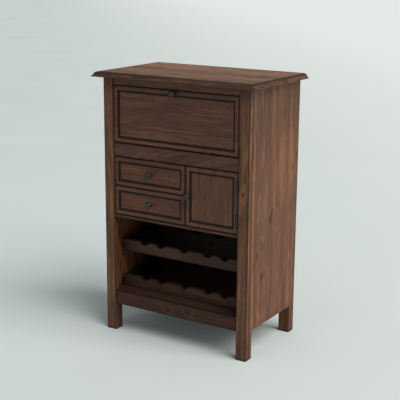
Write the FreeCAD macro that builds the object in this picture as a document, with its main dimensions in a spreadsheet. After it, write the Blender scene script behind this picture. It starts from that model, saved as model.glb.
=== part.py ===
import FreeCAD, Part

import math
import os
from types import SimpleNamespace

import Sketcher

# A free-standing bar cabinet: a fold-down bar flap over two drawers and a door, with two bottle racks below.
# Lengths are in millimetres. X runs along the front, Y to the back, Z up; the origin is on the floor,
# at the middle of the footprint of the top.

SIZES = {
    # Whole cabinet
    "overall_height": 1067,
    "body_width": 660,
    "body_depth": 398,
    "edge_ease": 1,
    # Top board and its edge moulding
    "top_thickness": 20,
    "top_overhang": 34,
    "fascia_height": 6,
    "fascia_round": 2.5,
    "quirk_inset": 6,
    "ovolo_inset": 17.5,
    "ovolo_radius": 12,
    "top_edge_inset": 20,
    "top_edge_drop": 1.2,
    # Carcass boards
    "stile_width": 45,
    "stile_thickness": 22,
    "side_thickness": 16,
    "leg_clearance": 114,
    "front_leg_depth": 44,
    "back_leg_depth": 38,
    "back_leg_width": 32,
    "back_thickness": 6,
    "back_inset": 2,
    "back_rail_thickness": 16,
    "shelf_thickness": 16,
    "shelf_proud": 3.5,
    "apron_height": 56.5,
    "apron_lip": 7,
    "deck_thickness": 11,
    "partition_thickness": 16,
    # Fronts and rails
    "front_setback": 3.5,
    "front_gap": 3,
    "front_thickness": 20,
    "fronts_height": 239.5,
    "middle_rail_height": 53,
    "flap_opening_height": 229.5,
    "top_rail_height": 29,
    "door_gap_offset": 51,
    "band_width": 17.5,
    "sticking_step": 1.2,
    "sticking_width": 6,
    "sticking_depth": 5,
    # Bottle racks
    "rack_setback": 69,
    "rack_side_gap": 19,
    "rack_back_gap": 31,
    "rack_rail_thickness": 18,
    "rack_rail_height": 48,
    "rack_side_thickness": 16,
    "rack_gap_share": 0.44,
    "notch_inner_offset": 111,
    "notch_outer_offset": 190,
    "notch_width": 42,
    "notch_depth": 15,
    "notch_ease": 2,
    "scoop_width": 70,
    "scoop_depth": 20,
    "cleat_width": 30,
    "cleat_height": 18,
    "cleat_setback": 40,
    # Turned knobs
    "knob_projection": 24,
    "knob_radius": 13.2,
    "knob_inset": 10.4,
    # Flap, its pivots and its stays
    "pivot_height": 10,
    "pivot_inset": 8,
    "pivot_radius": 4,
    "pivot_bite": 12,
    "running_clearance": 0.05,
    "flap_toe_round": 5,
    "flap_heel_round": 4,
    "upper_deck_thickness": 16,
    "upper_deck_gap": 3,
    "stay_radius": 150,
    "stay_eye_reach": 20,
    "stay_guide_reach": 96,
    "arm_length": 275,
    "arm_height": 12,
    "arm_thickness": 3,
    "arm_inset": 3,
    "arm_eye_radius": 7,
    "arm_stop_length": 3.8,
    "arm_stop_height": 18,
    "rivet_radius": 2.5,
    "rivet_head_radius": 4.2,
    "rivet_head_height": 1.2,
    "side_clearance": 0.4,
    "bracket_thickness": 6,
    "bracket_height": 26,
    "bracket_reach": 6,
    "guide_length": 16,
    "guide_height": 22,
    "guide_wall": 2.2,
    "guide_clearance": 0.3,
    "guide_pin_length": 14,
    "stay_block_size": 40,
    # Drawers and runners
    "drawer_side_thickness": 12,
    "drawer_head_gap": 20,
    "drawer_back_gap": 36.5,
    "drawer_box_drop": 5.3,
    "drawer_bottom_thickness": 5,
    "drawer_bottom_level": 8,
    "drawer_bottom_let_in": 4,
    "runner_groove_depth": 6,
    "runner_groove_height": 10,
    "runner_groove_level": 42,
    "runner_clearance": 0.3,
    "runner_side_gap": 1,
    "runner_tip_gap": 0.5,
    "runner_height": 40,
    "runner_back_gap": 15.5,
    "runner_front_gap": 1,
    # Door hinges
    "hinge_height": 50,
    "hinge_offset": 68,
    "knuckle_radius": 4,
    "knuckle_clearance": 0.3,
    "hinge_pin_radius": 1.8,
    "hinge_pin_head_radius": 3,
    "hinge_pin_head_height": 2,
    "leaf_thickness": 1.2,
    "leaf_depth": 20,
    "leaf_start": 0.3,
    # Magnetic catches and their strike plates
    "strike_thickness": 1.5,
    "strike_width": 36,
    "strike_height": 12,
    "strike_inset": 3,
    "catch_gap": 0.3,
    "catch_depth": 18,
    "door_catch_width": 20,
}

DRAWER_COUNT = 2

# Turned profile of a knob, from its foot to the top of its dome, as shares of its radius and projection
KNOB_SHARES = (
    (0.46, 0),
    (0.46, 0.6),
    (1, 0.6),
    (1, 0.76),
    (0.58, 1),
    (0, 1),
)
LEFT_TURN = 1
RIGHT_TURN = -1


class Size:
    """A number together with the sheet formula that gives it."""

    def __init__(self, value, text):
        self.value = value
        self.text = text

    def joined(self, sign, other, value):
        return Size(value, f"({self.text} {sign} {wording(other)})")

    def __add__(self, other):
        return self.joined("+", other, self.value + amount(other))

    def __sub__(self, other):
        return self.joined("-", other, self.value - amount(other))

    def __mul__(self, other):
        return self.joined("*", other, self.value * amount(other))

    def __truediv__(self, other):
        return self.joined("/", other, self.value / amount(other))

    def __neg__(self):
        return Size(-self.value, f"(-{self.text})")


def amount(entry):
    return entry.value if isinstance(entry, Size) else entry


def wording(entry):
    return entry.text if isinstance(entry, Size) else repr(entry)


def root(size):
    return Size(math.sqrt(size.value), f"sqrt({size.text})")


def slope_angle(rise, run):
    """The angle of a slope, in degrees."""
    angle = math.degrees(math.atan2(rise.value, run.value))
    return Size(angle, f"atan2({rise.text}; {run.text})")


class Corner:
    """A corner of an outline; with a radius, an arc leads on from it to the next corner."""

    def __init__(self, across, along, radius=None, turn=LEFT_TURN, long_way=False):
        self.across = across
        self.along = along
        self.radius = radius
        self.turn = turn
        self.long_way = long_way

    def point(self):
        return FreeCAD.Vector(self.across.value, self.along.value, 0)


doc = FreeCAD.newDocument("BarCabinet")
sheet = doc.addObject("Spreadsheet::Sheet", "Sizes")
for row, (name, number) in enumerate(SIZES.items(), start=1):
    sheet.set(f"A{row}", name)
    sheet.set(f"B{row}", str(number))
    sheet.setAlias(f"B{row}", name)
doc.recompute()

ZERO = Size(0, "0")
d = SimpleNamespace(**{name: Size(number, f"Sizes.{name}") for name, number in SIZES.items()})
nodes = []


# Helpers for bodies, sketches and features

def bind(item, path, size):
    item.setExpression(path, size.text)


def new_body(label):
    body = doc.addObject("PartDesign::Body", label)
    body.Label = label
    return body


def place(item, across, back, up):
    bind(item, "Placement.Base.x", across)
    bind(item, "Placement.Base.y", back)
    bind(item, "Placement.Base.z", up)
    return item


def node(item):
    """Lists a finished object as a sub-part that gets its own file."""
    nodes.append(item)
    return item


def group(label, members):
    """One sub-part made of several separate pieces."""
    compound = doc.addObject("Part::Compound", label)
    compound.Label = label
    compound.Links = members
    return node(compound)


def new_sketch(body, plane, offset=ZERO):
    """A sketch on one of the body's own planes, moved along that plane's normal."""
    sketch = body.newObject("Sketcher::SketchObject", f"{body.Name}Sketch")
    support = next(entry for entry in body.Origin.OriginFeatures if entry.Role == plane)
    sketch.AttachmentSupport = [(support, "")]
    sketch.MapMode = "FlatFace"
    bind(sketch, "AttachmentOffset.Base.z", offset)
    return sketch


def pin_point(sketch, entity, end, kind, size):
    """Fixes one coordinate of a point by its distance from the sketch's origin."""
    if abs(size.value) == 0:
        axis = -2 if kind == "DistanceX" else -1
        sketch.addConstraint(Sketcher.Constraint("PointOnObject", entity, end, axis))
        return
    ends = (-1, 1, entity, end) if size.value > 0 else (entity, end, -1, 1)
    gap = size if size.value > 0 else -size
    index = sketch.addConstraint(Sketcher.Constraint(kind, *ends, gap.value))
    bind(sketch, f"Constraints[{index}]", gap)


def arc_between(start, end, corner):
    """The arc from one corner to the next, and whether it runs against the outline."""
    chord = end - start
    half = chord.Length / 2
    radius = max(corner.radius.value, half)
    side = corner.turn * (-1 if corner.long_way else 1)
    normal = FreeCAD.Vector(-chord.y, chord.x, 0).normalize()
    centre = (start + end) * 0.5 + normal * (side * math.sqrt(radius**2 - half**2))
    first, last = (start, end) if corner.turn == LEFT_TURN else (end, start)
    angles = [math.atan2(point.y - centre.y, point.x - centre.x) for point in (first, last)]
    circle = Part.Circle(centre, FreeCAD.Vector(0, 0, 1), radius)
    return Part.ArcOfCircle(circle, angles[0], angles[1])


def draw_outline(sketch, corners):
    """Draws a closed outline, with each corner and radius bound to its formula."""
    followers = corners[1:] + corners[:1]
    ends = []
    for corner, follower in zip(corners, followers):
        start, end = corner.point(), follower.point()
        if corner.radius is None:
            entity = sketch.addGeometry(Part.LineSegment(start, end), False)
            ends.append((entity, 1, 2))
        else:
            entity = sketch.addGeometry(arc_between(start, end, corner), False)
            ends.append((entity, 1, 2) if corner.turn == LEFT_TURN else (entity, 2, 1))
    for (entity, _, last), (other, first, _) in zip(ends, ends[1:] + ends[:1]):
        sketch.addConstraint(Sketcher.Constraint("Coincident", entity, last, other, first))
    for corner, (entity, first, _) in zip(corners, ends):
        pin_point(sketch, entity, first, "DistanceX", corner.across)
        pin_point(sketch, entity, first, "DistanceY", corner.along)
        if corner.radius is not None:
            index = sketch.addConstraint(Sketcher.Constraint("Radius", entity, corner.radius.value))
            bind(sketch, f"Constraints[{index}]", corner.radius)


def draw_circle(sketch, across, along, radius):
    centre = FreeCAD.Vector(across.value, along.value, 0)
    circle = Part.Circle(centre, FreeCAD.Vector(0, 0, 1), radius.value)
    entity = sketch.addGeometry(circle, False)
    pin_point(sketch, entity, 3, "DistanceX", across)
    pin_point(sketch, entity, 3, "DistanceY", along)
    index = sketch.addConstraint(Sketcher.Constraint("Radius", entity, radius.value))
    bind(sketch, f"Constraints[{index}]", radius)


def rectangle(left, bottom, right, top):
    return [Corner(left, bottom), Corner(right, bottom), Corner(right, top), Corner(left, top)]


def pad(body, sketch, length, reverse=False):
    feature = body.newObject("PartDesign::Pad", f"{body.Name}Pad")
    feature.Profile = sketch
    bind(feature, "Length", length)
    feature.Reversed = reverse
    doc.recompute()
    return feature


def pocket(body, sketch, depth, reverse=False, taper=None):
    feature = body.newObject("PartDesign::Pocket", f"{body.Name}Pocket")
    feature.Profile = sketch
    bind(feature, "Length", depth)
    feature.Reversed = reverse
    if taper is not None:
        bind(feature, "TaperAngle", taper)
    doc.recompute()
    return feature


def ease_edges(body, feature):
    """Takes the sharpness off every edge of a board."""
    chamfer = body.newObject("PartDesign::Chamfer", f"{body.Name}Ease")
    chamfer.Base = (feature, ["Edge1"])
    chamfer.UseAllEdges = True
    bind(chamfer, "Size", d.edge_ease)
    doc.recompute()


def prism(label, plane, corners, length, eased=False):
    """A body with one outline: along Z from XY, along X from YZ, along Y from XZ."""
    body = new_body(label)
    sketch = new_sketch(body, plane)
    draw_outline(sketch, corners)
    feature = pad(body, sketch, length, reverse=plane == "XZ_Plane")
    if eased:
        ease_edges(body, feature)
    return body


def board(label, low, high, eased=False):
    """A rectangular board between two opposite corners."""
    wide, deep, tall = (end - start for start, end in zip(low, high))
    body = prism(label, "XY_Plane", rectangle(ZERO, ZERO, wide, deep), tall, eased)
    return place(body, *low)


def bore(body, plane, offset, across, along, radius, depth, reverse=False):
    sketch = new_sketch(body, plane, offset)
    draw_circle(sketch, across, along, radius)
    pocket(body, sketch, depth, reverse)


def boss(body, plane, offset, across, along, radius, height, reverse=False):
    sketch = new_sketch(body, plane, offset)
    draw_circle(sketch, across, along, radius)
    pad(body, sketch, height, reverse)


def turned(label, corners):
    """A solid of revolution about the local Y axis."""
    body = new_body(label)
    sketch = new_sketch(body, "XY_Plane")
    draw_outline(sketch, corners)
    feature = body.newObject("PartDesign::Revolution", f"{label}Turn")
    feature.Profile = sketch
    feature.ReferenceAxis = (sketch, ["V_Axis"])
    feature.Angle = 360
    doc.recompute()
    return body


# Planes and levels of the carcass

right = d.body_width / 2
left = -right
back = (d.body_depth + d.top_overhang) / 2
front = back - d.body_depth
left_inner = left + d.side_thickness
right_inner = right - d.side_thickness
stile_left = left + d.stile_width
stile_right = right - d.stile_width
stile_back = front + d.stile_thickness
panel_back = back - d.back_inset
panel_front = panel_back - d.back_thickness
face = front + d.front_setback
field = face + d.sticking_depth
fronts_back = face + d.front_thickness
top_under = d.overall_height - d.top_thickness
shelf_top = d.leg_clearance + d.apron_height + d.shelf_proud
shelf_under = shelf_top - d.shelf_thickness
flap_bay_top = top_under - d.top_rail_height
flap_bay_floor = flap_bay_top - d.flap_opening_height
fronts_top = flap_bay_floor - d.middle_rail_height
fronts_floor = fronts_top - d.fronts_height
deck_under = fronts_floor - d.deck_thickness
pivot_back = face + d.pivot_inset
pivot_up = flap_bay_floor + d.front_gap + d.pivot_height
upper_deck_top = pivot_up + d.front_thickness - d.pivot_inset
upper_deck_under = upper_deck_top - d.upper_deck_thickness
partition_left = d.door_gap_offset - d.partition_thickness / 2
partition_right = partition_left + d.partition_thickness


# Top board: its ends are moulded by its outline, its front edge by a cut of the same moulding

top_width = d.body_width + d.top_overhang * 2
top_depth = d.body_depth + d.top_overhang


def moulded_edge(from_tip, climbing, turn):
    """Corners of the moulded edge; from_tip places an inset from the tip of the edge."""
    ledge = d.top_thickness - d.top_edge_drop
    steps = [
        (ZERO, ZERO),
        (ZERO, d.fascia_height - d.fascia_round),
        (d.fascia_round, d.fascia_height),
        (d.quirk_inset, d.fascia_height),
        (d.ovolo_inset, ledge),
        (d.top_edge_inset, ledge),
        (d.top_edge_inset, d.top_thickness),
    ]
    curves = [None, d.fascia_round, None, d.ovolo_radius, None, None]
    if not climbing:
        steps.reverse()
        curves.reverse()
    curves.append(None)
    return [Corner(from_tip(inset), level, curve, turn) for (inset, level), curve in zip(steps, curves)]


right_end = moulded_edge(lambda inset: top_width - inset, True, LEFT_TURN)
left_end = moulded_edge(lambda inset: inset, False, LEFT_TURN)
top_board = node(prism("top_board", "XZ_Plane", right_end + left_end, top_depth))
waste = moulded_edge(lambda inset: inset, True, RIGHT_TURN)[1:] + [Corner(ZERO, d.top_thickness)]
front_waste = new_sketch(top_board, "YZ_Plane")
draw_outline(front_waste, waste)
pocket(top_board, front_waste, top_width, reverse=True)
place(top_board, left - d.top_overhang, front - d.top_overhang, top_under)


# Side panels, each cut away between its two legs

side_depth = d.body_depth - d.stile_thickness
front_leg_end = d.front_leg_depth - d.stile_thickness
back_leg_start = side_depth - d.back_leg_depth
side_outline = [
    Corner(ZERO, ZERO),
    Corner(front_leg_end, ZERO),
    Corner(front_leg_end, d.leg_clearance),
    Corner(back_leg_start, d.leg_clearance),
    Corner(back_leg_start, ZERO),
    Corner(side_depth, ZERO),
    Corner(side_depth, top_under),
    Corner(ZERO, top_under),
]
for label, across in (("left_side", left), ("right_side", right_inner)):
    panel = prism(label, "YZ_Plane", side_outline, d.side_thickness, eased=True)
    node(place(panel, across, stile_back, ZERO))


# Face frame: stiles with the flap's pivot bores, rails and apron

stile_bore = d.pivot_radius + d.running_clearance
stile_bore_depth = d.pivot_bite + d.side_clearance
left_stile = node(board("left_stile", (left, front, ZERO), (stile_left, stile_back, top_under), eased=True))
right_stile = node(board("right_stile", (stile_right, front, ZERO), (right, stile_back, top_under), eased=True))
for stile, offset, inward in ((left_stile, d.stile_width, False), (right_stile, ZERO, True)):
    bore(stile, "YZ_Plane", offset, pivot_back - front, pivot_up, stile_bore, stile_bore_depth, inward)

for label, low, high in (("top_rail", flap_bay_top, top_under), ("middle_rail", fronts_top, flap_bay_floor)):
    node(board(label, (stile_left, face, low), (stile_right, fronts_back, high), eased=True))

apron_top = d.leg_clearance + d.apron_height
apron_low = (stile_left, face, d.leg_clearance)
apron = node(board("apron", apron_low, (stile_right, fronts_back, apron_top), eased=True))
rabbet = new_sketch(apron, "YZ_Plane")
draw_outline(rabbet, rectangle(d.apron_lip, shelf_under - d.leg_clearance, d.front_thickness, d.apron_height))
pocket(apron, rabbet, stile_right - stile_left, reverse=True)


# Shelves, partition, back and legs

def notched_shelf(label, level, thickness, front_edge):
    """A shelf between the sides, notched round the stiles."""
    near = stile_left - left_inner
    far = stile_right - left_inner
    wide = right_inner - left_inner
    notch = stile_back - front_edge
    deep = panel_front - front_edge
    corners = [
        Corner(near, ZERO),
        Corner(far, ZERO),
        Corner(far, notch),
        Corner(wide, notch),
        Corner(wide, deep),
        Corner(ZERO, deep),
        Corner(ZERO, notch),
        Corner(near, notch),
    ]
    shelf = prism(label, "XY_Plane", corners, thickness)
    return node(place(shelf, left_inner, front_edge, level))


notched_shelf("bottom_shelf", shelf_under, d.shelf_thickness, face + d.apron_lip)
notched_shelf("lower_deck", deck_under, d.deck_thickness, face)
node(board(
    "upper_deck",
    (left_inner, fronts_back + d.upper_deck_gap, upper_deck_under),
    (right_inner, panel_front, upper_deck_top),
    eased=True,
))
node(board(
    "partition",
    (partition_left, fronts_back + d.upper_deck_gap, fronts_floor),
    (partition_right, panel_front, upper_deck_under),
))
node(board("back_panel", (left_inner, panel_front, d.leg_clearance), (right_inner, panel_back, top_under)))
node(board(
    "back_rail",
    (left_inner + d.back_leg_width, panel_front - d.back_rail_thickness, d.leg_clearance),
    (right_inner - d.back_leg_width, panel_front, shelf_under),
))
front_leg_back = front + d.front_leg_depth
back_leg_front = back - d.back_leg_depth
for label, near, far in (
    ("left_front_leg_block", left_inner, stile_left),
    ("right_front_leg_block", stile_right, right_inner),
):
    node(board(label, (near, stile_back, ZERO), (far, front_leg_back, shelf_under), eased=True))
for label, near, far in (
    ("left_back_leg_block", left_inner, left_inner + d.back_leg_width),
    ("right_back_leg_block", right_inner - d.back_leg_width, right_inner),
):
    node(board(label, (near, back_leg_front, ZERO), (far, panel_front, shelf_under), eased=True))


# Bottle racks: a notched front rail for the necks, a scooped back rail and plain side rails

rack_left = left_inner + d.rack_side_gap
rack_right = right_inner - d.rack_side_gap
rack_width = rack_right - rack_left
rack_front = front + d.rack_setback
rack_back = panel_front - d.rack_back_gap
right_offsets = [d.notch_outer_offset, d.notch_inner_offset]
left_offsets = [-offset for offset in reversed(right_offsets)]
bottle_offsets = right_offsets + [ZERO] + left_offsets


def scooped_rail(label, back_edge, level, wide, deep):
    """A rail whose top edge has a round hollow, with eased shoulders, for each bottle."""
    sag = deep - d.notch_ease
    radius = (wide * wide / 4 + sag * sag) / (sag * 2)
    low = d.rack_rail_height - d.notch_ease
    corners = [Corner(ZERO, ZERO), Corner(rack_width, ZERO), Corner(rack_width, d.rack_rail_height)]
    for offset in bottle_offsets:
        middle = rack_width / 2 + offset
        corners.append(Corner(middle + wide / 2 + d.notch_ease, d.rack_rail_height))
        corners.append(Corner(middle + wide / 2, low, radius, RIGHT_TURN))
        corners.append(Corner(middle - wide / 2, low))
        corners.append(Corner(middle - wide / 2 - d.notch_ease, d.rack_rail_height))
    corners.append(Corner(ZERO, d.rack_rail_height))
    rail = prism(label, "XZ_Plane", corners, d.rack_rail_thickness)
    return node(place(rail, rack_left, back_edge - d.rack_rail_thickness, level))


racks_height = d.rack_rail_height * 2 + d.cleat_height
rack_slack = deck_under - shelf_top - racks_height
upper_rack = shelf_top + d.rack_rail_height + d.cleat_height + rack_slack * d.rack_gap_share
for name, level in (("upper", upper_rack), ("lower", shelf_top)):
    side_front = rack_front + d.rack_rail_thickness
    side_back = rack_back - d.rack_rail_thickness
    high = level + d.rack_rail_height
    scooped_rail(f"{name}_rack_front_rail", side_front, level, d.notch_width, d.notch_depth)
    scooped_rail(f"{name}_rack_back_rail", rack_back, level, d.scoop_width, d.scoop_depth)
    for hand, near in (("left", rack_left), ("right", rack_right - d.rack_side_thickness)):
        far = near + d.rack_side_thickness
        node(board(f"{name}_rack_{hand}_rail", (near, side_front, level), (far, side_back, high), eased=True))

cleat_front = rack_front + d.cleat_setback
cleat_low = upper_rack - d.cleat_height
group("rack_cleats", [
    board(f"rack_cleat_{hand}", (near, cleat_front, cleat_low), (near + d.cleat_width, rack_back, upper_rack))
    for hand, near in (("left", left_inner), ("right", right_inner - d.cleat_width))
])


# Fronts: a flat field sunk behind a routed step and slope

def sink_field(body, wide, tall):
    """Sinks the field of a front, leaving a band all round it."""
    slope_depth = d.sticking_depth - d.sticking_step
    taper = slope_angle(d.sticking_width, slope_depth)
    corners = rectangle(d.band_width, d.band_width, wide - d.band_width, tall - d.band_width)
    step = new_sketch(body, "XZ_Plane")
    draw_outline(step, corners)
    pocket(body, step, d.sticking_step)
    slope = new_sketch(body, "XZ_Plane", -d.sticking_step)
    draw_outline(slope, corners)
    pocket(body, slope, slope_depth, taper=-taper)


def sunk_front(label, across, up, wide, tall):
    panel = board(label, (across, face, up), (across + wide, fronts_back, up + tall), eased=True)
    sink_field(panel, wide, tall)
    return node(panel)


def knob(label, across, up, seat):
    """A turned mushroom knob that stands on a front, at the given depth."""
    corners = [Corner(ZERO, ZERO)]
    for radius_share, height_share in KNOB_SHARES:
        radius = d.knob_radius * radius_share if radius_share else ZERO
        height = d.knob_projection * height_share if height_share else ZERO
        corners.append(Corner(radius, height))
    piece = turned(label, corners)
    half_turn = FreeCAD.Rotation(FreeCAD.Vector(0, 0, 1), 180)
    piece.Placement = FreeCAD.Placement(FreeCAD.Vector(), half_turn)
    return node(place(piece, across, seat, up))


# Flap with rounded toe and heel, so that it turns clear of the rail and the deck

flap_left = stile_left + d.front_gap
flap_right = stile_right - d.front_gap
flap_wide = flap_right - flap_left
flap_low = flap_bay_floor + d.front_gap
flap_tall = d.flap_opening_height - d.front_gap * 2
flap_top = flap_low + flap_tall
flap_outline = [
    Corner(d.flap_toe_round, ZERO),
    Corner(d.front_thickness - d.flap_heel_round, ZERO, d.flap_heel_round),
    Corner(d.front_thickness, d.flap_heel_round),
    Corner(d.front_thickness, flap_tall),
    Corner(ZERO, flap_tall),
    Corner(ZERO, d.flap_toe_round, d.flap_toe_round),
]
flap = node(prism("flap_panel", "YZ_Plane", flap_outline, flap_wide))
sink_field(flap, flap_wide, flap_tall)
for offset, inward in ((ZERO, True), (flap_wide, False)):
    bore(flap, "YZ_Plane", offset, d.pivot_inset, d.pivot_height, d.pivot_radius, d.pivot_bite, inward)
place(flap, flap_left, face, flap_low)
knob("flap_knob", ZERO, flap_top - d.knob_inset, face)


def rod(label, plane, radius, length):
    body = new_body(label)
    boss(body, plane, ZERO, ZERO, ZERO, radius, length)
    return body


pivot_length = d.pivot_bite * 2 + d.front_gap
group("flap_pivot_pins", [
    place(rod(f"flap_pivot_pin_{hand}", "YZ_Plane", d.pivot_radius, pivot_length), across, pivot_back, pivot_up)
    for hand, across in (("left", stile_left - d.pivot_bite), ("right", flap_right - d.pivot_bite))
])


# Flap stays: the eye and the guide lie on one circle about the flap's pivot,
# so each arm turns half as far as the flap while it slides through its guide

eye_rise = root(d.stay_radius * d.stay_radius - d.stay_eye_reach * d.stay_eye_reach)
guide_rise = root(d.stay_radius * d.stay_radius - d.stay_guide_reach * d.stay_guide_reach)
eye_back = pivot_back + d.stay_eye_reach
eye_up = pivot_up + eye_rise
guide_back = pivot_back + d.stay_guide_reach
guide_up = pivot_up + guide_rise
arm_slope = slope_angle(eye_rise - guide_rise, d.stay_guide_reach - d.stay_eye_reach)
arm_half = d.arm_height / 2
eye_run = root(d.arm_eye_radius * d.arm_eye_radius - arm_half * arm_half)
stop_start = d.arm_length - d.arm_stop_length
stop_half = d.arm_stop_height / 2
arm_outline = [
    Corner(eye_run, -arm_half),
    Corner(stop_start, -arm_half),
    Corner(stop_start, -stop_half),
    Corner(d.arm_length, -stop_half),
    Corner(d.arm_length, stop_half),
    Corner(stop_start, stop_half),
    Corner(stop_start, arm_half),
    Corner(eye_run, arm_half, d.arm_eye_radius, LEFT_TURN, long_way=True),
]
guide_slot = d.arm_thickness + d.guide_clearance * 2
guide_wide = guide_slot + d.guide_wall * 2
guide_half = d.guide_length / 2
guide_tall_half = d.guide_height / 2
slot_half = arm_half + d.guide_clearance
bracket_foot = eye_back - fronts_back
bracket_outline = [
    Corner(-bracket_foot, -d.bracket_height / 2),
    Corner(d.bracket_reach, -d.bracket_reach),
    Corner(d.bracket_reach, d.bracket_reach),
    Corner(-bracket_foot, d.bracket_height / 2),
]
rivet_length = d.arm_thickness + d.side_clearance * 2
block_half = d.stay_block_size / 2
pin_bore = d.pivot_radius + d.running_clearance
pin_bore_depth = d.guide_pin_length


def tilt(body):
    """Leans a stay piece down to the back by the slope of the closed arm."""
    lean = FreeCAD.Rotation(FreeCAD.Vector(-1, 0, 0), arm_slope.value)
    body.Placement = FreeCAD.Placement(FreeCAD.Vector(), lean)
    bind(body, "Placement.Rotation.Angle", arm_slope)
    return body


def stay_arm(label, across):
    arm = prism(label, "YZ_Plane", arm_outline, d.arm_thickness)
    bore(arm, "YZ_Plane", ZERO, ZERO, ZERO, d.rivet_radius + d.running_clearance, d.arm_thickness, True)
    return node(place(tilt(arm), across, eye_back, eye_up))


def stay_guide(label, across, outward_left):
    """A swivelling block that the arm slides through, with its pivot pin on the outer side."""
    corners = rectangle(-guide_half, -guide_tall_half, guide_half, guide_tall_half)
    guide = prism(label, "YZ_Plane", corners, guide_wide)
    slot = new_sketch(guide, "XZ_Plane", guide_half)
    draw_outline(slot, rectangle(d.guide_wall, -slot_half, d.guide_wall + guide_slot, slot_half))
    pocket(guide, slot, d.guide_length)
    offset = ZERO if outward_left else guide_wide
    boss(guide, "YZ_Plane", offset, ZERO, ZERO, d.pivot_radius, d.guide_pin_length, outward_left)
    return node(place(tilt(guide), across, guide_back, guide_up))


def stay_bracket(label, across, rivet_left):
    """A lug on the flap's inner face, with the headed rivet that the arm's eye turns on."""
    bracket = prism(label, "YZ_Plane", bracket_outline, d.bracket_thickness)
    foot = ZERO if rivet_left else d.bracket_thickness
    head = -rivet_length if rivet_left else d.bracket_thickness + rivet_length
    boss(bracket, "YZ_Plane", foot, ZERO, ZERO, d.rivet_radius, rivet_length, rivet_left)
    boss(bracket, "YZ_Plane", head, ZERO, ZERO, d.rivet_head_radius, d.rivet_head_height, rivet_left)
    return place(bracket, across, eye_back, eye_up)


def stay_block(label, near, far, bore_offset, inward):
    low = (near, guide_back - block_half, guide_up - block_half)
    high = (far, guide_back + block_half, guide_up + block_half)
    block = board(label, low, high, eased=True)
    bore(block, "YZ_Plane", bore_offset, block_half, block_half, pin_bore, pin_bore_depth, inward)
    return block


left_arm = flap_left + d.arm_inset
right_arm = flap_right - d.arm_inset - d.arm_thickness
left_guide = left_arm - d.guide_clearance - d.guide_wall
right_guide = right_arm - d.guide_clearance - d.guide_wall
left_block = left_guide - d.side_clearance
right_block = right_guide + guide_wide + d.side_clearance
stay_arm("left_stay_arm", left_arm)
stay_arm("right_stay_arm", right_arm)
stay_guide("left_stay_guide", left_guide, True)
stay_guide("right_stay_guide", right_guide, False)
group("stay_brackets", [
    stay_bracket("stay_bracket_left", left_arm + d.arm_thickness + d.side_clearance, True),
    stay_bracket("stay_bracket_right", right_arm - d.side_clearance - d.bracket_thickness, False),
])
group("stay_blocks", [
    stay_block("stay_block_left", left_inner, left_block, left_block - left_inner, False),
    stay_block("stay_block_right", right_block, right_inner, ZERO, True),
])


# Drawers on side-hung runners

drawer_left = stile_left + d.front_gap
drawer_right = d.door_gap_offset - d.front_gap / 2
drawer_wide = drawer_right - drawer_left
drawer_tall = (d.fronts_height - d.front_gap * (DRAWER_COUNT + 1)) / DRAWER_COUNT
box_left = stile_left + d.runner_side_gap
box_right = partition_left - d.runner_side_gap
box_inner_left = box_left + d.drawer_side_thickness
box_inner_right = box_right - d.drawer_side_thickness
box_back = panel_front - d.drawer_back_gap
box_side_tall = drawer_tall - d.drawer_box_drop - d.drawer_head_gap
groove_top = d.runner_groove_level + d.runner_groove_height
floor_top = d.drawer_bottom_level + d.drawer_bottom_thickness
floor_groove = d.drawer_side_thickness - d.drawer_bottom_let_in
runner_front = fronts_back + d.runner_front_gap
runner_back = panel_front - d.runner_back_gap
tongue_reach = d.runner_side_gap + d.runner_groove_depth - d.runner_tip_gap
tongue_tall = d.runner_groove_height - d.runner_clearance * 2
batten_wide = stile_left - left_inner
tongue_low = (d.runner_height - tongue_tall) / 2
side_section = [
    (ZERO, ZERO),
    (d.drawer_side_thickness, ZERO),
    (d.drawer_side_thickness, d.drawer_bottom_level),
    (floor_groove, d.drawer_bottom_level),
    (floor_groove, floor_top),
    (d.drawer_side_thickness, floor_top),
    (d.drawer_side_thickness, box_side_tall),
    (ZERO, box_side_tall),
    (ZERO, groove_top),
    (d.runner_groove_depth, groove_top),
    (d.runner_groove_depth, d.runner_groove_level),
    (ZERO, d.runner_groove_level),
]
left_section = [Corner(across, up) for across, up in side_section]
right_section = [Corner(d.drawer_side_thickness - across, up) for across, up in reversed(side_section)]
runner_section = [
    Corner(ZERO, ZERO),
    Corner(batten_wide, ZERO),
    Corner(batten_wide, tongue_low),
    Corner(batten_wide + tongue_reach, tongue_low),
    Corner(batten_wide + tongue_reach, tongue_low + tongue_tall),
    Corner(batten_wide, tongue_low + tongue_tall),
    Corner(batten_wide, d.runner_height),
    Corner(ZERO, d.runner_height),
]
left_runners = []
right_runners = []
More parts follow.
